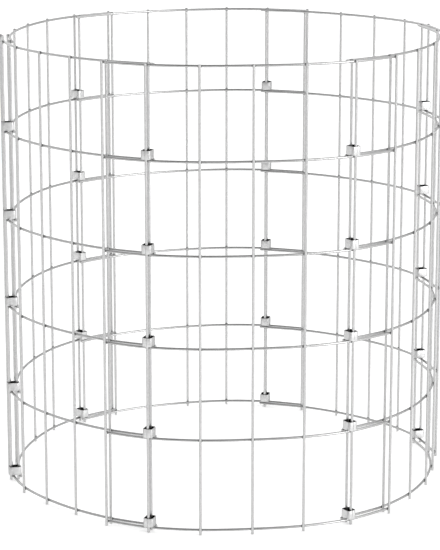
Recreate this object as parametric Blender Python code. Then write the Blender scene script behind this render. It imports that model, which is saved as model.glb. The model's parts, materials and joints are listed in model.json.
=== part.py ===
"""Round compost bin of galvanised welded mesh.

Six curved mesh panels stand in a ring and lap each other by one mesh space.
At every lap five clips of folded strip hold the two neighbouring uprights together.
The clips are loose enough to slide up the uprights, and rest on the hoops.

Sizes are in metres, +Z is up and the front of the bin faces -Y.
"""
import math

import bmesh
import bpy
from mathutils import Vector

MM = 0.001

# Wire, the same both ways
WIRE_D = 6.0 * MM
WELD_SINK = 1.0 * MM        # how far a hoop and an upright are pressed into each other
WIRE_SIDES = 6

# Mesh of one panel: hoops run round, uprights stand outside them
HOOPS = 6
HOOP_PITCH = 200.0 * MM
FOOT = 10.0 * MM            # upright below the lowest hoop's centre
HEAD = 4.0 * MM             # upright above the top hoop's centre
UPRIGHTS = 7
LAP_SPACES = 1              # mesh spaces that two neighbouring panels share
STUB = 12.0 * MM            # hoop past the centre of the end upright
HOOP_FACETS = 2             # straight runs of a hoop for each mesh space

# Ring of panels
RING_D = 982.0 * MM         # mean diameter, over the centres of the hoops
LAP_STEP = 17.0 * MM        # radial step between the hoops of two lapped panels
PANEL_DIP = 4.0 * MM        # a panel is a little flatter between its laps
FRONT_DIP = 13.0 * MM       # and the front one, outside at both ends, more so
FIRST_CLIP_ANGLE = math.radians(-20.6)   # from the front, positive towards +X
WIDE_ANGLE = math.radians(12.93)         # between uprights of the two wider-sprung panels
WIDE_SPACES = 10

# Clip: a strip folded round the two uprights of a lap and pressed to until its ends nearly meet
CLIP_HEIGHT = 19.0 * MM
CLIP_WIDTH = 22.5 * MM      # along the ring
CLIP_STRIP = 2.0 * MM       # thickness of the strip
CLIP_CORNER = 6.0 * MM      # outer corner radius
CORNER_STEPS = 3            # straight facets in a corner
CLIP_SEAM = 0.5 * MM        # between the two ends, in the middle of the wall outside the lap
WALL_PLAY = 0.7 * MM        # between an upright and the wall of the clip in front of it or behind
SEAT_GAP = 0.3 * MM         # clip above the hoops that it rests on

# The panels in their order round the ring: whether each starts outside its neighbour,
# whether it ends outside, and the name of the column of clips at its end
PANELS = {
    "front": (True, True, "front_right"),
    "right": (False, False, "right"),
    "back_right": (True, False, "back_right"),
    "back": (True, False, "back_left"),
    "back_left": (True, False, "left"),
    "left": (True, False, "front_left"),
}

WIRE_R = WIRE_D / 2
WELD_OFFSET = WIRE_D - WELD_SINK
SPACES = UPRIGHTS - 1
PANEL_STEP = SPACES - LAP_SPACES
SLOTS = len(PANELS) * PANEL_STEP
NARROW_ANGLE = (math.tau - WIDE_SPACES * WIDE_ANGLE) / (SLOTS - WIDE_SPACES)
INNER_R = (RING_D - LAP_STEP) / 2
OUTER_R = (RING_D + LAP_STEP) / 2
TOP = FOOT + (HOOPS - 1) * HOOP_PITCH + HEAD


def clear_scene():
    for old in list(bpy.data.objects):
        bpy.data.objects.remove(old, do_unlink=True)


def new_collection(name):
    collection = bpy.data.collections.new(name)
    bpy.context.scene.collection.children.link(collection)
    return collection


def galvanised(name, colour, roughness):
    material = bpy.data.materials.new(name)
    material.use_nodes = True
    shader = material.node_tree.nodes["Principled BSDF"]
    shader.inputs["Base Color"].default_value = (*colour, 1.0)
    shader.inputs["Roughness"].default_value = roughness
    shader.inputs["Metallic"].default_value = 1.0
    return material


def slot_angle(slot):
    """Angle round the ring of a slot, the place of an upright; the front panel starts at slot 0."""
    turns, place = divmod(slot - LAP_SPACES, SLOTS)
    wide = min(place, WIDE_SPACES)
    spread = wide * WIDE_ANGLE + (place - wide) * NARROW_ANGLE
    return FIRST_CLIP_ANGLE + spread + turns * math.tau


def place_angle(first_slot, place):
    """Angle from a panel's first upright to a place counted in spaces, whole or between two."""
    whole = min(int(place), SPACES - 1)
    low = slot_angle(first_slot + whole)
    high = slot_angle(first_slot + whole + 1)
    return low + (high - low) * (place - whole) - slot_angle(first_slot)


def ease(u):
    u = min(max(u, 0.0), 1.0)
    return u * u * (3 - 2 * u)


def hoop_radius(place, starts_outside, ends_outside):
    """Radius of a panel's hoops at a place counted in spaces from its first upright."""
    start = OUTER_R if starts_outside else INNER_R
    end = OUTER_R if ends_outside else INNER_R
    u = ease((place - LAP_SPACES) / (SPACES - 2 * LAP_SPACES))
    dip = FRONT_DIP if starts_outside and ends_outside else PANEL_DIP
    return start + (end - start) * u - dip * 4 * u * (1 - u)


def on_ring(radius, angle, z):
    return Vector((radius * math.sin(angle), -radius * math.cos(angle), z))


def wire_mesh(name, paths):
    """One mesh of separate closed wires, one along each path of points."""
    curve = bpy.data.curves.new(name, "CURVE")
    curve.dimensions = "3D"
    curve.twist_mode = "Z_UP"
    curve.bevel_depth = WIRE_R
    curve.bevel_resolution = (WIRE_SIDES - 4) // 2
    curve.use_fill_caps = True
    for path in paths:
        spline = curve.splines.new("POLY")
        spline.points.add(len(path) - 1)
        for point, position in zip(spline.points, path):
            point.co = (*position, 1.0)
    guide = bpy.data.objects.new(name, curve)
    bpy.context.scene.collection.objects.link(guide)
    depsgraph = bpy.context.evaluated_depsgraph_get()
    mesh = bpy.data.meshes.new_from_object(guide.evaluated_get(depsgraph))
    bpy.data.objects.remove(guide, do_unlink=True)
    weld_caps(mesh)
    return mesh


def weld_caps(mesh):
    shape = bmesh.new()
    shape.from_mesh(mesh)
    bmesh.ops.remove_doubles(shape, verts=shape.verts, dist=0.01 * MM)
    bmesh.ops.recalc_face_normals(shape, faces=shape.faces)
    shape.to_mesh(mesh)
    shape.free()


def hoop_path(z, first_slot, sides):
    """Points of one hoop: a corner either side of every upright, so that each weld is on a straight."""
    facet = 1 / HOOP_FACETS
    path = []
    for i in range(SPACES * HOOP_FACETS):
        place = facet * (i + 0.5)
        angle = place_angle(first_slot, place)
        half_turn = place_angle(first_slot, place + facet / 2) - angle
        radius = hoop_radius(place, *sides) / math.cos(half_turn)
        path.append(on_ring(radius, angle, z))
    stubs = []
    for place, neighbour in ((0, path[0]), (SPACES, path[-1])):
        end = on_ring(hoop_radius(place, *sides), place_angle(first_slot, place), z)
        stubs.append(end + (end - neighbour).normalized() * STUB)
    return [stubs[0], *path, stubs[1]]


def upright_path(place, first_slot, sides):
    angle = place_angle(first_slot, place)
    radius = hoop_radius(place, *sides) + WELD_OFFSET
    return [on_ring(radius, angle, 0.0), on_ring(radius, angle, TOP)]


def panel(name, first_slot, sides, material, parts, cutters, ring):
    """Hoops and uprights of one panel, welded into one piece at every crossing."""
    heights = [FOOT + level * HOOP_PITCH for level in range(HOOPS)]
    hoops = wire_mesh(name, [hoop_path(z, first_slot, sides) for z in heights])
    uprights = wire_mesh(
        name + "_uprights",
        [upright_path(i, first_slot, sides) for i in range(UPRIGHTS)],
    )
    piece = bpy.data.objects.new(name, hoops)
    rods = bpy.data.objects.new(name + "_uprights", uprights)
    parts.objects.link(piece)
    cutters.objects.link(rods)
    for item in (piece, rods):
        item.parent = ring
        item.rotation_euler.z = slot_angle(first_slot)
        item.data.shade_smooth()
    rods.hide_render = True
    rods.display_type = "WIRE"
    piece.data.materials.append(material)
    weld = piece.modifiers.new("Weld uprights", "BOOLEAN")
    weld.operation = "UNION"
    weld.solver = "EXACT"
    weld.object = rods
    return piece


def corner(centre_x, centre_y, radius, start):
    """Points of a quarter turn, anticlockwise from the start angle."""
    points = []
    for i in range(CORNER_STEPS + 1):
        turn = start + math.pi / 2 * i / CORNER_STEPS
        points.append((centre_x + radius * math.cos(turn), centre_y + radius * math.sin(turn)))
    return points


def strip_face(back, front, half_width, radius):
    """One face of the strip from end to end, round the back; the ends meet at the front, on +X."""
    back_x = back + radius
    front_x = front - radius
    side_y = half_width - radius
    points = [(front, CLIP_SEAM / 2)]
    points += corner(front_x, side_y, radius, 0.0)
    points += corner(back_x, side_y, radius, math.pi / 2)
    points += corner(back_x, -side_y, radius, math.pi)
    points += corner(front_x, -side_y, radius, math.pi * 3 / 2)
    points.append((front, -CLIP_SEAM / 2))
    return points


def clip_outline():
    """Plan of the clip, with the middle of the inner upright at x = 0 and the outer one at LAP_STEP."""
    wall = WIRE_R + WALL_PLAY
    inside = strip_face(-wall, LAP_STEP + wall, CLIP_WIDTH / 2 - CLIP_STRIP,
                        CLIP_CORNER - CLIP_STRIP)
    outside = strip_face(-wall - CLIP_STRIP, LAP_STEP + wall + CLIP_STRIP, CLIP_WIDTH / 2,
                         CLIP_CORNER)
    return outside + inside[::-1]


def clip_shape(material):
    curve = bpy.data.curves.new("clip", "CURVE")
    curve.dimensions = "2D"
    curve.fill_mode = "BOTH"
    curve.extrude = CLIP_HEIGHT / 2
    outline = clip_outline()
    spline = curve.splines.new("POLY")
    spline.points.add(len(outline) - 1)
    for point, (x, y) in zip(spline.points, outline):
        point.co = (x, y, 0.0, 1.0)
    spline.use_cyclic_u = True
    curve.materials.append(material)
    return curve


def clip(name, shape, slot, level, parts, ring):
    """A clip round the two uprights of a lap, resting on the hoops of this level."""
    angle = slot_angle(slot)
    base = FOOT + level * HOOP_PITCH + WIRE_R + SEAT_GAP
    piece = bpy.data.objects.new(name, shape)
    parts.objects.link(piece)
    piece.parent = ring
    piece.location = on_ring(INNER_R + WELD_OFFSET, angle, base + CLIP_HEIGHT / 2)
    piece.rotation_euler.z = angle - math.pi / 2
    return piece


def centre_footprint(ring, pieces):
    """Move the ring's axis so that the middle of the bin's footprint is at the origin."""
    bpy.context.view_layer.update()
    depsgraph = bpy.context.evaluated_depsgraph_get()
    points = []
    for piece in pieces:
        evaluated = piece.evaluated_get(depsgraph)
        mesh = evaluated.to_mesh()
        points += [evaluated.matrix_world @ vertex.co for vertex in mesh.vertices]
        evaluated.to_mesh_clear()
    for axis in (0, 1):
        low = min(point[axis] for point in points)
        high = max(point[axis] for point in points)
        ring.location[axis] = -(low + high) / 2


def main():
    clear_scene()
    parts = new_collection("compost_bin")
    cutters = new_collection("compost_bin_cutters")
    wire = galvanised("galvanised_wire", (0.78, 0.79, 0.80), 0.38)
    strip = galvanised("galvanised_strip", (0.84, 0.85, 0.86), 0.32)
    ring = bpy.data.objects.new("ring_axis", None)
    parts.objects.link(ring)
    shape = clip_shape(strip)
    panels = []
    for order, (name, (starts_outside, ends_outside, column)) in enumerate(PANELS.items()):
        first_slot = order * PANEL_STEP
        sides = (starts_outside, ends_outside)
        panels.append(panel(f"panel_{name}", first_slot, sides, wire, parts, cutters, ring))
        inner_end = first_slot + (PANEL_STEP if ends_outside else SPACES)
        for level in range(HOOPS - 1):
            clip(f"clip_{column}_{level + 1}", shape, inner_end, level, parts, ring)
    centre_footprint(ring, panels)


main()
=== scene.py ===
# %% [markdown]
# # A compost bin of galvanised welded mesh
#
# The bin is a ring of six curved mesh panels. Each panel is welded from two layers of the same
# round wire: hoops that run round the bin, and uprights that stand outside them. Where two panels
# lap, five clips of folded strip hold their uprights together.
#
# The construction, with every real size and place, is already packed as a fixed frame. This script gives
# it its looks: round wires, weld nuggets, sheared wire ends, rolled clips, and a zinc finish with
# painted shade on the hoops, round the welds and on the clips. Everything is in metres, +Z is up, and
# the front of the bin faces -Y.

# %% Load the frame
import json
import math

import bpy
import numpy as np
from mathutils import Matrix, Vector


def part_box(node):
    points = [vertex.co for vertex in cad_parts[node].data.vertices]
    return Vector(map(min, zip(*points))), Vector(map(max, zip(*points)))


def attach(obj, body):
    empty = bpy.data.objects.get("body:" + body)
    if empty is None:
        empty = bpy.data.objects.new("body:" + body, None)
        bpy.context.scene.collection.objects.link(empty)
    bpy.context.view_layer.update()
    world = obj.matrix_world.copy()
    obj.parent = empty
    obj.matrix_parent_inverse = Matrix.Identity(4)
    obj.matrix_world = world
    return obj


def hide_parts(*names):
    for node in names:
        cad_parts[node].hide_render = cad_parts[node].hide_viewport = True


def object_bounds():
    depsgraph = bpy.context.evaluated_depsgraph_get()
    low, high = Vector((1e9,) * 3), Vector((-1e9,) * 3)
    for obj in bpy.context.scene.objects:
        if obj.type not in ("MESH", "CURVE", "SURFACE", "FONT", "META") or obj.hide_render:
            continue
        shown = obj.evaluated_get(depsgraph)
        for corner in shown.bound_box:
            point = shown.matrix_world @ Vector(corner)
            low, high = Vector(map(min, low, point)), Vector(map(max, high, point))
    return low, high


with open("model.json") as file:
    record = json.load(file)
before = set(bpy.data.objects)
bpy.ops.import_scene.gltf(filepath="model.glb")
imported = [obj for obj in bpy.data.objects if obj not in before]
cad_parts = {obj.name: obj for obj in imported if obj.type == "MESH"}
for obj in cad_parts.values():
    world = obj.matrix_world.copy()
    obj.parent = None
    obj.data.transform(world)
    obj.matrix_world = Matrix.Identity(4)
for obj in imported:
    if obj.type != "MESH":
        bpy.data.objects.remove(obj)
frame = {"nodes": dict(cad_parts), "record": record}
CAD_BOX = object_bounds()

MM = 0.001
panel_nodes = sorted(name for name in frame["nodes"] if name.startswith("panel_"))
clip_nodes = sorted(name for name in frame["nodes"] if name.startswith("clip_"))
bodies = frame["record"]["behaviour"]["bodies"]
body_of = {node: body for body, nodes in bodies.items() for node in nodes}

# %% [markdown]
# ## Sizes of the wire and the strip
#
# These are the stock sizes that the whole bin is made of. A maker would call them out on the
# drawing, so they stand here by name, and every later shape is worked out from them. The heights
# of the hoops aren't typed in: they are read from the frame in the next step, so the looks can
# never drift away from the construction.

# %% Stock sizes
WIRE_D = 6.0 * MM            # both layers of the mesh
WELD_SINK = 1.0 * MM         # the weld presses the two wires this far into each other
INNER_STUB = 12.0 * MM       # a hoop's end, past its last weld, where its panel is the inner one
OUTER_STUB = 4.0 * MM        # and where it is the outer one: hardly past the upright's side
WELD_OFFSET = WIRE_D - WELD_SINK

CLIP_STRIP = 2.0 * MM        # thickness of the clip's strip
CLIP_CORNER = 6.0 * MM       # outer radius of each bend
CLIP_SEAM = 0.5 * MM         # between the two ends of the strip, where they nearly meet
SEAT_GAP = 0.3 * MM          # a resting clip's height above the hoops below it

WIRE_ROLL = 0.5 * MM         # depth of the rolled edge that shears leave on a wire's end
WIRE_FLAT = 0.8              # the flat face's share of that end, inside the rolled edge
STRIP_ROLL = 0.15 * MM       # the same on the strip's end
STRIP_FLAT = 0.9
print("weld offset", round(WELD_OFFSET / MM, 2), "mm")

# %% [markdown]
# ## Reading places from the frame
#
# A clip's middle lies at the same distance from the axis of the ring at every lap. A circle
# through the six lowest clips therefore gives that axis, even though the panels themselves aren't
# exact arcs. The top face of the frame shows seven small polygons for each panel, one for each
# upright, and the middle of each polygon is the middle of that wire.

# %% Axis of the ring, heights of the hoops
def corners_of(node):
    """Corners of a node's solid, as rows of x, y, z."""
    mesh = frame["nodes"][node].data
    rows = np.zeros(len(mesh.vertices) * 3, np.float32)
    mesh.vertices.foreach_get("co", rows)
    return rows.reshape(-1, 3).astype(float)


def middle_of(node):
    low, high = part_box(node)
    return (low + high) / 2


def circle_centre(points):
    """Centre of the circle that lies closest to points in plan."""
    rows = [(2 * x, 2 * y, 1.0) for x, y in points]
    squares = [x * x + y * y for x, y in points]
    solved = np.linalg.lstsq(np.array(rows), np.array(squares), rcond=None)[0]
    return Vector((solved[0], solved[1], 0.0))


lowest_clips = [node for node in clip_nodes if node.endswith("_1")]
clip_spots = [corners_of(node)[:, :2].mean(axis=0) for node in lowest_clips]
AXIS = circle_centre(clip_spots)
clip_levels = sorted({round(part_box(node)[0].z, 4) for node in clip_nodes})
HOOP_PITCH = clip_levels[1] - clip_levels[0]
HOOPS = len(clip_levels) + 1
TOP = CAD_BOX[1].z
print("axis", [round(v / MM, 2) for v in AXIS], "hoops", HOOPS, "every", round(HOOP_PITCH / MM, 1), "mm")


# %% Places of the uprights
LEVEL_WITHIN = 0.2 * MM      # corners this close to the top belong to it
SAME_WIRE = 2 * WIRE_D       # and these this close together belong to one wire


def upright_spots(node):
    """Middle of each upright of a panel in plan, in order round the ring."""
    corners = corners_of(node)
    tops = {tuple(np.round(row[:2], 6)) for row in corners if row[2] > TOP - LEVEL_WITHIN}
    groups = []
    for x, y in sorted(tops):
        near = [group for group in groups if math.dist(group[0], (x, y)) < SAME_WIRE]
        if near:
            near[0].append((x, y))
        else:
            groups.append([(x, y)])
    middles = [Vector((*np.mean(group, axis=0), 0.0)) for group in groups]
    facing = sum(middles, Vector()) / len(middles) - AXIS
    return sorted(middles, key=lambda spot: facing.cross(spot - AXIS).z)


spots_of = {node: upright_spots(node) for node in panel_nodes}
FOOT = clip_levels[0] - WIRE_D / 2 - SEAT_GAP
print("uprights:", {node: len(spots) for node, spots in spots_of.items()})
print("lowest hoop at", round(FOOT / MM, 1), "mm")

# %% [markdown]
# ## Building node trees in a script
#
# The panels and clips come from Geometry Nodes, and the finishes from shader nodes. Both kinds of
# tree are made of nodes, values and links, so three small helpers keep the rest of the script
# short. A tree's inputs get names here, and a modifier looks a name up to find the identifier
# that Blender stores the value under.

# %% Helpers for node trees
SOCKETS = {
    "float": "NodeSocketFloat",
    "int": "NodeSocketInt",
    "vector": "NodeSocketVector",
    "colour": "NodeSocketColor",
    "shape": "NodeSocketGeometry",
    "material": "NodeSocketMaterial",
}


def new_tree(kind, name, inputs, outputs):
    """A node tree with named inputs and outputs, given as {name: (sort, default)}."""
    tree = bpy.data.node_groups.new(name, kind)
    for in_out, sockets in (("INPUT", inputs), ("OUTPUT", outputs)):
        for title, (sort, default) in sockets.items():
            made = tree.interface.new_socket(title, in_out=in_out, socket_type=SOCKETS[sort])
            if default is not None:
                made.default_value = default
    return tree, tree.nodes.new("NodeGroupInput"), tree.nodes.new("NodeGroupOutput")


def put(tree, kind, settings=None, **values):
    """Adds a node. settings are its options; values fill its inputs by name or number (i0, i1)."""
    node = tree.nodes.new(kind)
    for option, choice in (settings or {}).items():
        setattr(node, option, choice)
    for title, value in values.items():
        number = title[1:]
        key = int(number) if title[0] == "i" and number.isdigit() else title.replace("_", " ")
        socket = node.inputs[key]
        if isinstance(value, bpy.types.NodeSocket):
            tree.links.new(value, socket)
        elif isinstance(value, bpy.types.Node):
            tree.links.new(value.outputs[0], socket)
        else:
            socket.default_value = value
    return node


def maths(tree, operation, *terms):
    """A Math node on the terms, which are numbers or sockets; gives its output."""
    values = {f"i{i}": term for i, term in enumerate(terms)}
    return put(tree, "ShaderNodeMath", {"operation": operation}, **values).outputs[0]


def fill_modifier(modifier, tree, values):
    """Sets a Geometry Nodes modifier's inputs by their names."""
    modifier.node_group = tree
    for item in tree.interface.items_tree:
        if item.item_type == "SOCKET" and item.in_out == "INPUT" and item.name in values:
            modifier[item.identifier] = values[item.name]


print("sorts of socket:", ", ".join(SOCKETS))

# %% [markdown]
# ## Sheared wire ends
#
# Mesh is cut to size with a shear, which leaves each wire with a flat face and a slightly rolled
# edge. A Bevel modifier could round that edge, but it would also touch the whole tube. The flat
# faces are easy to find in nodes instead: they are the only faces with more than four corners.
# They are pushed out a little and made smaller, which leaves a narrow chamfer round them.


# %% Node group: sheared ends
SIDE_CORNERS = 4             # a face along the tube has this many corners


def sheared_ends():
    tree, given, result = new_tree(
        "GeometryNodeTree", "sheared_ends",
        {"Wire": ("shape", None), "Roll": ("float", WIRE_ROLL), "Face": ("float", WIRE_FLAT)},
        {"Wire": ("shape", None)},
    )
    corners = put(tree, "GeometryNodeInputMeshFaceNeighbors").outputs["Vertex Count"]
    is_cut = put(
        tree, "FunctionNodeCompare", {"data_type": "INT", "operation": "GREATER_THAN"},
        i2=corners, i3=SIDE_CORNERS,
    )
    pushed = put(
        tree, "GeometryNodeExtrudeMesh", {"mode": "FACES"},
        Mesh=given.outputs["Wire"], Selection=is_cut.outputs[0],
        Offset_Scale=given.outputs["Roll"], Individual=True,
    )
    small = put(
        tree, "GeometryNodeScaleElements", {"domain": "FACE"},
        Geometry=pushed.outputs["Mesh"], Selection=pushed.outputs["Top"], Scale=given.outputs["Face"],
    )
    tree.links.new(small.outputs[0], result.inputs[0])
    return tree


SHEARED_ENDS = sheared_ends()
print("group", SHEARED_ENDS.name, "has", len(SHEARED_ENDS.nodes), "nodes")

# %% [markdown]
# ## One tree for every mesh panel
#
# A panel follows a simple rule: the same hoop at every level, the same upright at every spot, and
# a weld wherever they cross. That is work for Geometry Nodes. The tree takes the plan line of a
# hoop, with the spots of the uprights marked on it, and repeats it by named sizes.
#
# On a real panel the two layers are one piece, because a resistance weld melts them together. The
# tree ends in a Boolean union for that reason: it removes the walls inside the welds and leaves
# one closed skin. The wires are closed tubes that never cross others of their own layer, so the
# quick Manifold solver can join the layers.


# %% Node group: wire along a path
WIRE_SIDES = 16              # enough for the wire to look round close up
WIRE_STEP = 12 * MM          # length of the short straight stretches that a curved wire is made of


def wire_along():
    tree, given, result = new_tree(
        "GeometryNodeTree", "wire_along",
        {
            "Path": ("shape", None),
            "Diameter": ("float", WIRE_D),
            "Sides": ("int", WIRE_SIDES),
            "Step": ("float", WIRE_STEP),
        },
        {"Wire": ("shape", None)},
    )
    even = put(
        tree, "GeometryNodeResampleCurve", {"mode": "LENGTH"},
        Curve=given.outputs["Path"], Length=given.outputs["Step"],
    )
    radius = maths(tree, "MULTIPLY", given.outputs["Diameter"], 0.5)
    section = put(
        tree, "GeometryNodeCurvePrimitiveCircle", {"mode": "RADIUS"},
        Resolution=given.outputs["Sides"], Radius=radius,
    )
    tube = put(
        tree, "GeometryNodeCurveToMesh",
        Curve=even, Profile_Curve=section.outputs["Curve"], Fill_Caps=True,
    )
    ends = put(tree, "GeometryNodeGroup", {"node_tree": SHEARED_ENDS}, Wire=tube)
    tree.links.new(ends.outputs[0], result.inputs[0])
    return tree


WIRE_ALONG = wire_along()
print("group", WIRE_ALONG.name, "has", len(WIRE_ALONG.nodes), "nodes")


# %% Tree: welded mesh panel
NUGGET_WIDTH = 7.6 * MM      # of the bead of melted steel at a weld, along both wires
NUGGET_DEPTH = 3.6 * MM      # and from one wire towards the other
NUGGET_SEGMENTS = 10         # few faces, because there are 42 beads on each panel
NUGGET_RINGS = 6
NUGGET_LEAST = (0.92, 0.9, 0.86)     # how unevenly the beads come out, as shares of their size
NUGGET_MOST = (1.06, 1.08, 1.1)
CREASE = math.radians(42)    # edges that turn by more than this stay sharp


def welded_panel():
    tree, given, result = new_tree(
        "GeometryNodeTree", "welded_panel",
        {
            "Plan Line": ("shape", None),
            "Wire Diameter": ("float", WIRE_D),
            "Wire Sides": ("int", WIRE_SIDES),
            "Wire Step": ("float", WIRE_STEP),
            "Hoops": ("int", None),
            "Hoop Pitch": ("float", None),
            "Foot": ("float", None),
            "Top": ("float", None),
            "Weld Offset": ("float", WELD_OFFSET),
            "Nugget Width": ("float", NUGGET_WIDTH),
            "Nugget Depth": ("float", NUGGET_DEPTH),
            "Seed": ("int", None),
            "Finish": ("material", None),
        },
        {"Panel": ("shape", None)},
    )
    get = given.outputs

    # The hoops: the plan line, smoothed and repeated at every level
    lift = put(tree, "ShaderNodeCombineXYZ", Z=get["Foot"])
    pitch = put(tree, "ShaderNodeCombineXYZ", Z=get["Hoop Pitch"])
    levels = put(
        tree, "GeometryNodeMeshLine", {"mode": "OFFSET"},
        Count=get["Hoops"], Start_Location=lift, Offset=pitch,
    )
    line = put(tree, "GeometryNodeMeshToCurve", Mesh=get["Plan Line"])
    smooth = put(tree, "GeometryNodeCurveSplineType", {"spline_type": "CATMULL_ROM"}, Curve=line)
    stack = put(tree, "GeometryNodeInstanceOnPoints", Points=levels, Instance=smooth)
    hoop_lines = put(tree, "GeometryNodeRealizeInstances", Geometry=stack)
    hoops = put(
        tree, "GeometryNodeGroup", {"node_tree": WIRE_ALONG},
        Path=hoop_lines, Diameter=get["Wire Diameter"], Sides=get["Wire Sides"], Step=get["Wire Step"],
    )

    # The uprights: one rod on every marked point, moved outward onto the hoops
    marked = put(tree, "GeometryNodeInputNamedAttribute", {"data_type": "BOOLEAN"}, Name="upright")
    outward = put(
        tree, "GeometryNodeInputNamedAttribute", {"data_type": "FLOAT_VECTOR"}, Name="outward",
    )
    spots = put(
        tree, "GeometryNodeSeparateGeometry", {"domain": "POINT"},
        Geometry=get["Plan Line"], Selection=marked.outputs[0],
    )
    shift = put(
        tree, "ShaderNodeVectorMath", {"operation": "SCALE"},
        i0=outward.outputs[0], Scale=get["Weld Offset"],
    )
    stands = put(tree, "GeometryNodeSetPosition", Geometry=spots.outputs[0], Offset=shift)
    reach = put(tree, "ShaderNodeCombineXYZ", Z=maths(tree, "SUBTRACT", get["Top"], WIRE_ROLL))
    rod_line = put(
        tree, "GeometryNodeCurvePrimitiveLine", {"mode": "POINTS"}, Start=(0, 0, WIRE_ROLL), End=reach,
    )
    rod = put(
        tree, "GeometryNodeGroup", {"node_tree": WIRE_ALONG},
        Path=rod_line, Diameter=get["Wire Diameter"], Sides=get["Wire Sides"], Step=get["Wire Step"],
    )
    rods = put(tree, "GeometryNodeInstanceOnPoints", Points=stands, Instance=rod)
    uprights = put(tree, "GeometryNodeRealizeInstances", Geometry=rods)

    # The weld nuggets: a flattened ball at every crossing, midway between the two wires
    contact = put(
        tree, "ShaderNodeVectorMath", {"operation": "SCALE"},
        i0=outward.outputs[0], Scale=maths(tree, "MULTIPLY", get["Weld Offset"], 0.5),
    )
    touching = put(tree, "GeometryNodeSetPosition", Geometry=spots.outputs[0], Offset=contact)
    rows = put(tree, "GeometryNodeInstanceOnPoints", Points=levels, Instance=touching)
    crossings = put(tree, "GeometryNodeRealizeInstances", Geometry=rows)
    ball = put(
        tree, "GeometryNodeMeshUVSphere",
        Segments=NUGGET_SEGMENTS, Rings=NUGGET_RINGS, Radius=0.5,
    )
    span = put(
        tree, "ShaderNodeCombineXYZ",
        X=get["Nugget Depth"], Y=get["Nugget Width"], Z=get["Nugget Width"],
    )
    lens = put(tree, "GeometryNodeTransform", Geometry=ball.outputs["Mesh"], Scale=span)
    turn = put(tree, "FunctionNodeAlignRotationToVector", {"axis": "X"}, Vector=outward.outputs[0])
    uneven = put(
        tree, "FunctionNodeRandomValue", {"data_type": "FLOAT_VECTOR"},
        i0=NUGGET_LEAST, i1=NUGGET_MOST, Seed=get["Seed"],
    )
    beads = put(
        tree, "GeometryNodeInstanceOnPoints",
        Points=crossings, Instance=lens, Rotation=turn.outputs[0], Scale=uneven.outputs[0],
    )
    nuggets = put(tree, "GeometryNodeRealizeInstances", Geometry=beads)

    union = put(tree, "GeometryNodeMeshBoolean", {"operation": "UNION", "solver": "MANIFOLD"})
    for layer in (hoops, uprights, nuggets):
        tree.links.new(layer.outputs[0], union.inputs["Mesh 2"])

    # The finish needs to know how far each point lies from a weld, and from the core of a hoop, for the
    # painted shade there
    reach_of_weld = put(tree, "GeometryNodeProximity", {"target_element": "POINTS"}, i0=crossings)
    marked_welds = put(
        tree, "GeometryNodeStoreNamedAttribute", {"data_type": "FLOAT", "domain": "POINT"},
        Geometry=union.outputs["Mesh"], Name="weld_distance", Value=reach_of_weld.outputs["Distance"],
    )
    even_lines = put(
        tree, "GeometryNodeResampleCurve", {"mode": "LENGTH"},
        Curve=hoop_lines, Length=get["Wire Step"],
    )
    hoop_cores = put(tree, "GeometryNodeCurveToMesh", Curve=even_lines)
    reach_of_hoop = put(tree, "GeometryNodeProximity", {"target_element": "EDGES"}, i0=hoop_cores)
    marked_hoops = put(
        tree, "GeometryNodeStoreNamedAttribute", {"data_type": "FLOAT", "domain": "POINT"},
        Geometry=marked_welds, Name="hoop_distance", Value=reach_of_hoop.outputs["Distance"],
    )

    soft = put(
        tree, "GeometryNodeSetShadeSmooth", {"domain": "FACE"},
        Geometry=marked_hoops, Shade_Smooth=True,
    )
    bend = put(tree, "GeometryNodeInputMeshEdgeAngle").outputs["Unsigned Angle"]
    is_crease = put(
        tree, "FunctionNodeCompare", {"data_type": "FLOAT", "operation": "GREATER_THAN"},
        i0=bend, i1=CREASE,
    )
    creased = put(
        tree, "GeometryNodeSetShadeSmooth", {"domain": "EDGE"},
        Geometry=soft, Selection=is_crease.outputs[0], Shade_Smooth=False,
    )
    whole = put(tree, "GeometryNodeRealizeInstances", Geometry=creased)
    finished = put(tree, "GeometryNodeSetMaterial", Geometry=whole, Material=get["Finish"])
    tree.links.new(finished.outputs[0], result.inputs[0])
    return tree


WELDED_PANEL = welded_panel()
print("tree", WELDED_PANEL.name, "has", len(WELDED_PANEL.nodes), "nodes")

# %% [markdown]
# ## The zinc finish
#
# Galvanised wire has been dipped in molten zinc. Close up it is a patchwork of dull and brighter
# crystals, a little rougher where the zinc ran together round a weld, and with fine pale rubs where it
# has been handled. The darkening round each weld is partly that zinc and partly painted shade where the
# two wires meet. An image could show that, but a pattern worked out from the object's own coordinates
# stays sharp at any size and needs no unwrapping.
#
# In the photograph the hoops are a duller grey than the uprights, except at the sides of the ring.
# There they are seen almost along their surface and turn pale. The hoops are the same wire as the
# uprights, so both looks are painted onto them: a duller grey as painted shade, and paler reflections
# along the surface as a painted sheen. So each place that differs is a mark: it reads an attribute of
# the piece, and says how much duller and rougher the zinc is there and what grey it turns to along its
# surface. A duller colour is painted shade, wholly or in part.
#
# Both finishes use the same two effects, so each is a node group that puts out masks and heights.
# The Principled shader itself stays in each material.


# %% Node group: zinc crystals
CLOUDS_PER_METRE = 26.0
GRAINS_PER_CRYSTAL = 2.4
GRAIN_HEIGHT = 0.6           # the grain's share of the relief; the crystals make the rest


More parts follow.
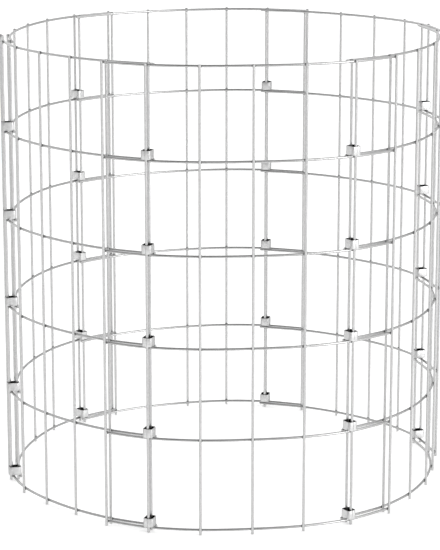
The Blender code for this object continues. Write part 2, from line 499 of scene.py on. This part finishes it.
def zinc_crystals():
    tree, given, result = new_tree(
        "ShaderNodeTree", "zinc_crystals",
        {
            "Vector": ("vector", None),
            "Crystals per Metre": ("float", None),
            "Clouds per Metre": ("float", CLOUDS_PER_METRE),
        },
        {"Crystal": ("float", None), "Cloud": ("float", None), "Height": ("float", None)},
    )
    where = given.outputs["Vector"]
    cells = put(
        tree, "ShaderNodeTexVoronoi", {"voronoi_dimensions": "3D", "feature": "F1"},
        Vector=where, Scale=given.outputs["Crystals per Metre"], Randomness=1.0,
    )
    grey = put(tree, "ShaderNodeSeparateColor", Color=cells.outputs["Color"]).outputs[0]
    clouds = put(
        tree, "ShaderNodeTexNoise", {"noise_dimensions": "3D"},
        Vector=where, Scale=given.outputs["Clouds per Metre"], Detail=5.0, Roughness=0.62,
    )
    grains = maths(tree, "MULTIPLY", given.outputs["Crystals per Metre"], GRAINS_PER_CRYSTAL)
    grain = put(
        tree, "ShaderNodeTexNoise", {"noise_dimensions": "3D"},
        Vector=where, Scale=grains, Detail=3.0,
    )
    height = maths(
        tree, "ADD",
        maths(tree, "MULTIPLY", grain.outputs[0], GRAIN_HEIGHT),
        maths(tree, "MULTIPLY", grey, 1.0 - GRAIN_HEIGHT),
    )
    for value, title in ((grey, "Crystal"), (clouds.outputs[0], "Cloud"), (height, "Height")):
        tree.links.new(value, result.inputs[title])
    return tree


# %% Node group: pale rubs from handling
RUBS_PER_METRE = 60.0
FEWEST_RUBS = 0.72           # height of the noise above which there are rubs, at an amount of 0
MORE_RUBS = 0.3              # and how far it comes down at an amount of 1
RUB_FADE = 0.12              # how softly a rub begins


def handling_rubs():
    tree, given, result = new_tree(
        "ShaderNodeTree", "handling_rubs",
        {
            "Vector": ("vector", None),
            "Rubs per Metre": ("float", RUBS_PER_METRE),
            "Amount": ("float", None),
        },
        {"Rub": ("float", None)},
    )
    patches = put(
        tree, "ShaderNodeTexNoise", {"noise_dimensions": "3D"},
        Vector=given.outputs["Vector"], Scale=given.outputs["Rubs per Metre"], Detail=6.0, Roughness=0.7,
    )
    lowered = maths(tree, "MULTIPLY", given.outputs["Amount"], MORE_RUBS)
    start = maths(tree, "SUBTRACT", FEWEST_RUBS, lowered)
    rub = put(
        tree, "ShaderNodeMapRange", {"interpolation_type": "SMOOTHSTEP"},
        Value=patches.outputs[0], From_Min=start, From_Max=maths(tree, "ADD", start, RUB_FADE),
    )
    tree.links.new(rub.outputs[0], result.inputs["Rub"])
    return tree


ZINC_CRYSTALS = zinc_crystals()
HANDLING_RUBS = handling_rubs()
print("effects:", ZINC_CRYSTALS.name, HANDLING_RUBS.name)


# %% Helpers for the materials
def grey(level):
    return (level, level, level, 1.0)


def mixed(tree, mask, low, high):
    """A colour between two others, by a mask."""
    node = put(tree, "ShaderNodeMix", {"data_type": "RGBA"})
    tree.links.new(mask, node.inputs[0])
    for number, colour in ((6, low), (7, high)):
        if isinstance(colour, bpy.types.NodeSocket):
            tree.links.new(colour, node.inputs[number])
        else:
            node.inputs[number].default_value = colour
    return node.outputs[2]


def dull_and_shade_mask(tree, mark):
    """Where a mark of duller zinc or painted shade is: 1 at one value of the piece's own attribute, and
    0 at another.
    """
    value = put(tree, "ShaderNodeAttribute", {"attribute_name": mark["attribute"]}).outputs["Fac"]
    return put(
        tree, "ShaderNodeMapRange", {"interpolation_type": "SMOOTHSTEP"},
        Value=value, From_Min=mark["clear_at"], From_Max=mark["dull_at"],
    ).outputs[0]


def shaded(tree, colour, mask, share):
    """The colour, brought down to a share of itself where the mask is 1."""
    drop = maths(tree, "MULTIPLY", mask, 1.0 - share)
    return put(
        tree, "ShaderNodeVectorMath", {"operation": "SCALE"},
        i0=colour, Scale=maths(tree, "SUBTRACT", 1.0, drop),
    ).outputs[0]


print("a middle grey as a colour:", grey(0.5))


# %% Materials of the wire and the strip
CRYSTAL_SHARE = 0.45         # the crystals' share of the patchwork; the clouds make the rest
CLOUD_ROUGHNESS = 0.16       # how much the roughness changes with the clouds
RUB_STRENGTH = 0.5
RUB_PALER = 1.12             # a rub's grey, against the lightest zinc
RUB_SMOOTHER = 0.06
RELIEF_STRENGTH = 0.22
RELIEF_DEPTH = 0.25 * MM
EDGE_TINT = 0.40             # grey that zinc turns to where it is seen almost along its surface


def zinc_material(name, dark, light, roughness, crystals, rubbed, marks):
    """Zinc between two greys, with rubs, and changed by each mark where its attribute says: rougher
    zinc, and painted shade where a mark darkens the colour.
    """
    material = bpy.data.materials.new(name)
    material.use_nodes = True
    tree = material.node_tree
    shader = tree.nodes["Principled BSDF"]
    shader.inputs["Metallic"].default_value = 1.0
    place = put(tree, "ShaderNodeTexCoord").outputs["Object"]
    zinc = put(
        tree, "ShaderNodeGroup", {"node_tree": ZINC_CRYSTALS},
        Vector=place, Crystals_per_Metre=crystals,
    )
    rubs = put(tree, "ShaderNodeGroup", {"node_tree": HANDLING_RUBS}, Vector=place, Amount=rubbed)

    patchwork = maths(
        tree, "ADD",
        maths(tree, "MULTIPLY", zinc.outputs["Crystal"], CRYSTAL_SHARE),
        maths(tree, "MULTIPLY", zinc.outputs["Cloud"], 1.0 - CRYSTAL_SHARE),
    )
    colour = mixed(tree, patchwork, grey(dark), grey(light))
    rub = maths(tree, "MULTIPLY", rubs.outputs["Rub"], RUB_STRENGTH)
    colour = mixed(tree, rub, colour, grey(light * RUB_PALER))
    clouded = maths(tree, "MULTIPLY", zinc.outputs["Cloud"], CLOUD_ROUGHNESS)
    rough = maths(tree, "ADD", roughness - CLOUD_ROUGHNESS / 2, clouded)
    rough = maths(tree, "SUBTRACT", rough, maths(tree, "MULTIPLY", rubs.outputs["Rub"], RUB_SMOOTHER))
    edge = EDGE_TINT
    for mark in marks:
        mask = dull_and_shade_mask(tree, mark)
        # Each mark brings the colour down: painted shade, wholly or in part
        colour = shaded(tree, colour, mask, mark["share"])
        rough = maths(tree, "ADD", rough, maths(tree, "MULTIPLY", mask, mark["rougher"]))
        change = maths(tree, "SUBTRACT", mark["edge"], edge)
        edge = maths(tree, "ADD", edge, maths(tree, "MULTIPLY", mask, change))
    bump = put(
        tree, "ShaderNodeBump",
        Strength=RELIEF_STRENGTH, Distance=RELIEF_DEPTH, Height=zinc.outputs["Height"],
    )
    tree.links.new(colour, shader.inputs["Base Color"])
    tree.links.new(rough, shader.inputs["Roughness"])
    tree.links.new(edge, shader.inputs["Specular Tint"])
    tree.links.new(bump.outputs[0], shader.inputs["Normal"])
    return material


# A mark: the attribute's values between which it sets in, its share of the colour, which paints shade
# wholly or in part, what it adds to the roughness, and the grey that it turns to along its surface
# Painted shade and sheen on the hoops: the same wire as the uprights, painted a tenth darker, with paler
# reflections along the surface
HOOPS_SHADE_AND_SHEEN_MARK = {
    "attribute": "hoop_distance", "clear_at": 3.7 * MM, "dull_at": 3.1 * MM,
    "share": 0.90, "rougher": 0.04, "edge": 1.0,
}
# Round each weld: zinc that ran together and is rougher, and darker as painted shade where the two wires
# meet
WELDS_ZINC_AND_SHADE_MARK = {
    "attribute": "weld_distance", "clear_at": 5.5 * MM, "dull_at": 3.4 * MM,
    "share": 0.45, "rougher": 0.12, "edge": 0.1,
}
# Along the clip's bends: stretched, rougher zinc, and a little darker as painted shade
BENDS_ZINC_AND_SHADE_MARK = {
    "attribute": "bend_depth", "clear_at": 0.8 * MM, "dull_at": 3.6 * MM,
    "share": 0.92, "rougher": 0.16, "edge": 0.4,
}
# Inside the clip: painted shade, almost black, for the deep shade there; the zinc is rougher too
INSIDE_SHADE_MARK = {
    "attribute": "inner_face", "clear_at": 0.0, "dull_at": 1.0,
    "share": 0.04, "rougher": 0.18, "edge": 0.0,
}
WIRE_FINISH = zinc_material(
    "galvanised_wire_finish", dark=0.46, light=0.61, roughness=0.30, crystals=420.0, rubbed=0.25,
    marks=[HOOPS_SHADE_AND_SHEEN_MARK, WELDS_ZINC_AND_SHADE_MARK],
)
STRIP_FINISH = zinc_material(
    "galvanised_strip_finish", dark=0.56, light=0.75, roughness=0.40, crystals=260.0, rubbed=0.40,
    marks=[BENDS_ZINC_AND_SHADE_MARK, INSIDE_SHADE_MARK],
)
print("finishes:", WIRE_FINISH.name, STRIP_FINISH.name)

# %% [markdown]
# ## The six panels
#
# The plan line of a hoop is a chain of nine points: one at each of the seven welds, and one at
# each cut end. Two attributes go with it, a mark on the welded points and the direction that is
# outward there. The tree turns the chain into a smooth Catmull-Rom curve, which passes exactly
# through every weld, so the round wires land where the frame holds them.
#
# A hoop's cut end stands out only where its panel is the inner one of a lap: there it runs on past
# the last upright. On the outer panel it is cut off just past the upright.


# %% Plan line of a panel's hoops
end_reaches = [(spots[i] - AXIS).length for spots in spots_of.values() for i in (0, -1)]
LAP_MIDDLE = (min(end_reaches) + max(end_reaches)) / 2
print("a lap's two layers part at", round(LAP_MIDDLE / MM, 1), "mm from the axis")


def hoop_end(weld, neighbour, spot):
    """Where a hoop is cut past its last weld; its rolled edge comes on top."""
    stub = OUTER_STUB if (spot - AXIS).length > LAP_MIDDLE else INNER_STUB
    return weld + (weld - neighbour).normalized() * (stub - WIRE_ROLL)


def plan_line(name, spots):
    """The nine points of a hoop in plan, as a chain of edges with its marks."""
    outward = [(spot - AXIS).normalized() for spot in spots]
    welds = [spot - WELD_OFFSET * out for spot, out in zip(spots, outward)]
    first = hoop_end(welds[0], welds[1], spots[0])
    last = hoop_end(welds[-1], welds[-2], spots[-1])
    points = [first, *welds, last]
    mesh = bpy.data.meshes.new(name)
    mesh.from_pydata([tuple(p) for p in points], [(i, i + 1) for i in range(len(points) - 1)], [])
    marks = mesh.attributes.new("upright", "BOOLEAN", "POINT")
    marks.data.foreach_set("value", [False, *[True] * len(welds), False])
    ways = mesh.attributes.new("outward", "FLOAT_VECTOR", "POINT")
    for way, out in zip(ways.data, [outward[0], *outward, outward[-1]]):
        way.vector = out
    return mesh


def grown(name, base, tree, values):
    """Runs a tree on a base mesh and gives the result as a plain mesh, without the tree."""
    seed = bpy.data.objects.new(name + "_seed", base)
    bpy.context.scene.collection.objects.link(seed)
    fill_modifier(seed.modifiers.new("Grow", "NODES"), tree, values)
    graph = bpy.context.evaluated_depsgraph_get()
    ready = seed.evaluated_get(graph)
    mesh = bpy.data.meshes.new_from_object(ready, preserve_all_data_layers=True, depsgraph=graph)
    mesh.name = name
    bpy.data.objects.remove(seed, do_unlink=True)
    return mesh


def place_piece(name, mesh, node):
    """Links a finished piece that stands for a node, on that node's body."""
    piece = bpy.data.objects.new(name, mesh)
    bpy.context.scene.collection.objects.link(piece)
    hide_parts(node)
    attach(piece, body_of[node])


# %% Make the panels
for number, node in enumerate(panel_nodes):
    sizes = {
        "Hoops": HOOPS,
        "Hoop Pitch": HOOP_PITCH,
        "Foot": FOOT,
        "Top": TOP,
        "Seed": number,
        "Finish": WIRE_FINISH,
    }
    title = node.replace("panel", "mesh_panel")
    skin = grown(title, plan_line(title, spots_of[node]), WELDED_PANEL, sizes)
    place_piece(title, skin, node)
    skin.calc_loop_triangles()
    print(title, "triangles:", len(skin.loop_triangles), "materials:", len(skin.materials))

# %% [markdown]
# ## The clips
#
# A clip starts as a flat strip. It is folded round both uprights of a lap and pressed to until its
# ends nearly meet, so a closed ring with a fine seam is left. The real part has the same section
# all along, so the tree sweeps that section along the folded line: corners come from Fillet Curve,
# and the section is a rectangle with its own small radius, because strip has no knife edge.
#
# The inner face keeps the rougher skin of the bath, since nothing ever rubs it, and it is painted almost
# black as painted shade for the deep shade inside the clip. Inner faces are the ones that look towards
# the middle of the clip, so the tree marks them by that rule. Along a bend the zinc is stretched and
# left rougher, and a little darker as painted shade: a second attribute says how deep a point lies in
# its corner, beyond the flats of both walls. The finish reads both.


# %% Tree: clip bent from strip
STRIP_EDGE = 0.4 * MM        # radius of the strip's own edges
BEND_STEPS = 10              # points round a bend
EDGE_STEPS = 4               # and round an edge of the strip
INNER_FROM, INNER_TO = 0.05, 0.5     # how squarely a face looks at the middle, to count as inner


def bent_clip():
    tree, given, result = new_tree(
        "GeometryNodeTree", "bent_clip",
        {
            "Bend Line": ("shape", None),
            "Strip": ("float", CLIP_STRIP),
            "Height": ("float", None),
            "Bend Radius": ("float", CLIP_CORNER - CLIP_STRIP / 2),
            "Edge Radius": ("float", STRIP_EDGE),
            "Middle": ("vector", None),
            "Flats": ("vector", None),
            "Finish": ("material", None),
        },
        {"Clip": ("shape", None)},
    )
    get = given.outputs
    line = put(tree, "GeometryNodeMeshToCurve", Mesh=get["Bend Line"])
    bent = put(
        tree, "GeometryNodeFilletCurve", {"mode": "POLY"},
        Curve=line, Count=BEND_STEPS, Radius=get["Bend Radius"], Limit_Radius=True,
    )
    upright = put(tree, "GeometryNodeSetCurveNormal", {"mode": "Z_UP"}, Curve=bent)
    oblong = put(
        tree, "GeometryNodeCurvePrimitiveQuadrilateral", {"mode": "RECTANGLE"},
        Width=get["Strip"], Height=get["Height"],
    )
    section = put(
        tree, "GeometryNodeFilletCurve", {"mode": "POLY"},
        Curve=oblong, Count=EDGE_STEPS, Radius=get["Edge Radius"], Limit_Radius=True,
    )
    strip = put(
        tree, "GeometryNodeCurveToMesh", Curve=upright, Profile_Curve=section, Fill_Caps=True,
    )
    ends = put(
        tree, "GeometryNodeGroup", {"node_tree": SHEARED_ENDS},
        Wire=strip, Roll=STRIP_ROLL, Face=STRIP_FLAT,
    )

    # Inner faces are marked here for the painted shade inside the clip
    inward = put(
        tree, "ShaderNodeVectorMath", {"operation": "SUBTRACT"},
        i0=get["Middle"], i1=put(tree, "GeometryNodeInputPosition"),
    )
    facing = put(
        tree, "ShaderNodeVectorMath", {"operation": "DOT_PRODUCT"},
        i0=put(tree, "ShaderNodeVectorMath", {"operation": "NORMALIZE"}, i0=inward),
        i1=put(tree, "GeometryNodeInputNormal"),
    )
    is_inner = put(
        tree, "ShaderNodeMapRange", {"interpolation_type": "SMOOTHSTEP"},
        Value=facing.outputs["Value"], From_Min=INNER_FROM, From_Max=INNER_TO,
    )
    marked = put(
        tree, "GeometryNodeStoreNamedAttribute", {"data_type": "FLOAT", "domain": "POINT"},
        Geometry=ends, Name="inner_face", Value=is_inner,
    )
    apart = put(tree, "ShaderNodeVectorMath", {"operation": "ABSOLUTE"}, i0=inward)
    beyond = put(tree, "ShaderNodeVectorMath", {"operation": "SUBTRACT"}, i0=apart, i1=get["Flats"])
    parts = put(tree, "ShaderNodeSeparateXYZ", Vector=beyond)
    depth = maths(tree, "MINIMUM", parts.outputs["X"], parts.outputs["Y"])
    bends = put(
        tree, "GeometryNodeStoreNamedAttribute", {"data_type": "FLOAT", "domain": "POINT"},
        Geometry=marked, Name="bend_depth", Value=depth,
    )

    soft = put(
        tree, "GeometryNodeSetShadeSmooth", {"domain": "FACE"}, Geometry=bends, Shade_Smooth=True,
    )
    whole = put(tree, "GeometryNodeRealizeInstances", Geometry=soft)
    finished = put(tree, "GeometryNodeSetMaterial", Geometry=whole, Material=get["Finish"])
    tree.links.new(finished.outputs[0], result.inputs[0])
    return tree


BENT_CLIP = bent_clip()
clip_low, clip_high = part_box(clip_nodes[0])
CLIP_HEIGHT = clip_high.z - clip_low.z
print("tree", BENT_CLIP.name, "height", round(CLIP_HEIGHT / MM, 2), "mm")


# %% Size of a clip, read from the frame
def clip_turn(node):
    """The way out from the ring's axis through a clip, as an angle."""
    spot = Vector((*corners_of(node)[:, :2].mean(axis=0), 0.0)) - AXIS
    return math.atan2(spot.y, spot.x)


def clip_spans(node):
    """Reach of a clip's solid outward from the axis, and half its width along the ring."""
    turn = Matrix.Rotation(-clip_turn(node), 4, "Z")
    rows = [turn @ (Vector(row) - AXIS) for row in corners_of(node)]
    return min(p.x for p in rows), max(p.x for p in rows), max(abs(p.y) for p in rows)


CLIP_IN, CLIP_OUT, CLIP_HALF = clip_spans(clip_nodes[0])
print("clip from", round(CLIP_IN / MM, 1), "to", round(CLIP_OUT / MM, 1), "mm from the axis")
print("and", round(CLIP_HALF / MM, 2), "mm to each side")


# %% Make the clips
def bend_line():
    """Middle of the strip in plan, from end to end, before its corners are rounded."""
    back = CLIP_IN + CLIP_STRIP / 2
    front = CLIP_OUT - CLIP_STRIP / 2
    side = CLIP_HALF - CLIP_STRIP / 2
    end = CLIP_SEAM / 2 + STRIP_ROLL
    half = [(front, end), (front, side), (back, side)]
    points = half + [(x, -y) for x, y in reversed(half)]
    mesh = bpy.data.meshes.new("bend_line")
    mesh.from_pydata([(x, y, 0.0) for x, y in points], [(i, i + 1) for i in range(len(points) - 1)], [])
    return mesh


clip_sizes = {
    "Height": CLIP_HEIGHT,
    "Middle": ((CLIP_IN + CLIP_OUT) / 2, 0.0, 0.0),
    "Flats": ((CLIP_OUT - CLIP_IN) / 2 - CLIP_CORNER, CLIP_HALF - CLIP_CORNER, 0.0),
    "Finish": STRIP_FINISH,
}
clip_skin = grown("clip_skin", bend_line(), BENT_CLIP, clip_sizes)
clip_skin.calc_loop_triangles()
print("one clip has", len(clip_skin.loop_triangles), "triangles")
for node in clip_nodes:
    title = node.replace("clip", "strip_clip")
    skin = clip_skin.copy()
    skin.name = title
    lift = Matrix.Translation(AXIS + Vector((0, 0, middle_of(node).z)))
    skin.transform(lift @ Matrix.Rotation(clip_turn(node), 4, "Z"))
    place_piece(title, skin, node)
print("placed", len(clip_nodes), "clips")

# %% [markdown]
# ## Floor, light and camera
#
# The bin stands on a plain pale floor in soft studio light, so thin pale wires have to read
# against white. Metal shows what it reflects, and here that is the room: a low soft box on the
# right in front, windows on the right and behind on the left, a white wall far behind the bin, and
# a dim room behind the camera.
#
# Lamps near the bin would leave bright pools on the floor, and these drown thin wires that are seen
# in front of them from other sides. So all the lights are far away: soft round patches on the
# world, each with a place, a size and a strength.
#
# The uprights mirror a ring of bright floor, so they are pale, and palest on the side of the soft box.
# The hoops mirror the dim room too, so they are greyer, and their finish adds painted shade on top of
# that.
#
# A floor that is lit to far over white would hide its shadows, but it would also outshine the thin
# wires in front of it. Photographers of shiny things use a white table that is lit from below, and
# so does this scene: the floor glows a little, is only just white, and hardly shows a shadow.
#
# The camera stands five metres in front with a long lens, and looks down on the bin far enough to
# show its hoops as the photograph does. The uprights in the photograph are parallel, which takes a
# lens that is shifted a long way. Here the camera is turned down instead, so that views from other
# sides keep the bin in the frame, and the uprights draw together a little towards the floor.


# %% Floor
TABLE_GLOW = 0.46            # light that comes through the table from below
FLOOR_REACH = 60.0           # to each side of the bin, so that no edge shows
FLOOR_GREYS = (0.93, 0.95)
FLOOR_CLOUDS = 1.5           # per metre
FLOOR_ROUGHNESS = 0.9
FLOOR_GLOSS = 0.2


def pale_floor():
    mesh = bpy.data.meshes.new("floor")
    corners = [(-1, -1), (1, -1), (1, 1), (-1, 1)]
    mesh.from_pydata([(x * FLOOR_REACH, y * FLOOR_REACH, 0.0) for x, y in corners], [], [(0, 1, 2, 3)])
    floor = bpy.data.objects.new("floor", mesh)
    bpy.context.scene.collection.objects.link(floor)
    material = bpy.data.materials.new("pale_floor")
    material.use_nodes = True
    tree = material.node_tree
    shader = tree.nodes["Principled BSDF"]
    place = put(tree, "ShaderNodeTexCoord").outputs["Object"]
    cloud = put(tree, "ShaderNodeTexNoise", Vector=place, Scale=FLOOR_CLOUDS, Detail=2.0).outputs[0]
    colour = mixed(tree, cloud, *[grey(level) for level in FLOOR_GREYS])
    tree.links.new(colour, shader.inputs["Base Color"])
    shader.inputs["Roughness"].default_value = FLOOR_ROUGHNESS
    shader.inputs["Specular IOR Level"].default_value = FLOOR_GLOSS
    shader.inputs["Emission Color"].default_value = grey(1.0)
    shader.inputs["Emission Strength"].default_value = TABLE_GLOW
    mesh.materials.append(material)


pale_floor()
print("floor laid")


# %% Light
PATCHES = {
    # azimuth (0 is the camera's side, 90 the right), elevation, full within, gone beyond, strength
    "soft_box": (52, 10, 11, 15, 8.5),
    "white_wall": (180, 22, 22, 50, 0.8),
    "left_window": (-125, 44, 22, 54, 0.85),
    "right_window": (88, 44, 22, 55, 0.85),
    "ceiling": (0, 90, 10, 50, 0.09),
}
DIM_ROOM = 0.13              # what the rest of the room gives
WHITE = (1, 1, 1, 1)


def towards(azimuth, elevation):
    """The way to a patch of light, in the world's axes."""
    a, e = math.radians(azimuth), math.radians(elevation)
    return Vector((math.sin(a) * math.cos(e), -math.cos(a) * math.cos(e), math.sin(e)))


def soft_surround():
    """White to the camera, and a dim room with patches of light to everything that it lights."""
    world = bpy.data.worlds.new("soft_surround")
    world.use_nodes = True
    bpy.context.scene.world = world
    tree = world.node_tree
    tree.nodes.clear()
    way = put(tree, "ShaderNodeTexCoord").outputs["Generated"]
    level = DIM_ROOM
    for azimuth, elevation, full, gone, strength in PATCHES.values():
        near = put(
            tree, "ShaderNodeVectorMath", {"operation": "DOT_PRODUCT"},
            i0=way, i1=towards(azimuth, elevation),
        ).outputs["Value"]
        patch = put(
            tree, "ShaderNodeMapRange", {"interpolation_type": "SMOOTHSTEP"},
            Value=near, To_Max=strength,
            From_Min=math.cos(math.radians(gone)), From_Max=math.cos(math.radians(full)),
        ).outputs[0]
        level = maths(tree, "ADD", level, patch)
    lit = put(tree, "ShaderNodeBackground", Color=WHITE, Strength=level)
    seen = put(tree, "ShaderNodeBackground", Color=WHITE, Strength=1.0)
    camera_ray = put(tree, "ShaderNodeLightPath").outputs["Is Camera Ray"]
    either = put(tree, "ShaderNodeMixShader", i0=camera_ray, i1=lit, i2=seen)
    put(tree, "ShaderNodeOutputWorld", Surface=either)


soft_surround()
bpy.context.scene.view_settings.view_transform = "Standard"
print("patches of light:", ", ".join(PATCHES))

# %% Camera
CAMERA_AT = Vector((-0.15055, -5.2408, 1.6883))
CAMERA_YAW = 0.0268          # turned towards +X, radians
CAMERA_PITCH = 0.2310        # turned down, radians
CAMERA_LENS = 153.0
SENSOR_WIDTH = 36.0
SIGHT = 200.0                # past the far edge of the floor
camera_data = bpy.data.cameras.new("camera")
camera_data.sensor_width = SENSOR_WIDTH
camera_data.lens = CAMERA_LENS
camera_data.clip_end = SIGHT
camera = bpy.data.objects.new("camera", camera_data)
bpy.context.scene.collection.objects.link(camera)
camera.location = CAMERA_AT
camera.rotation_euler = (math.pi / 2 - CAMERA_PITCH, 0.0, -CAMERA_YAW)
bpy.context.scene.camera = camera
print("camera at", [round(v, 3) for v in CAMERA_AT], "lens", CAMERA_LENS)

# %% Finish
bpy.context.view_layer.update()
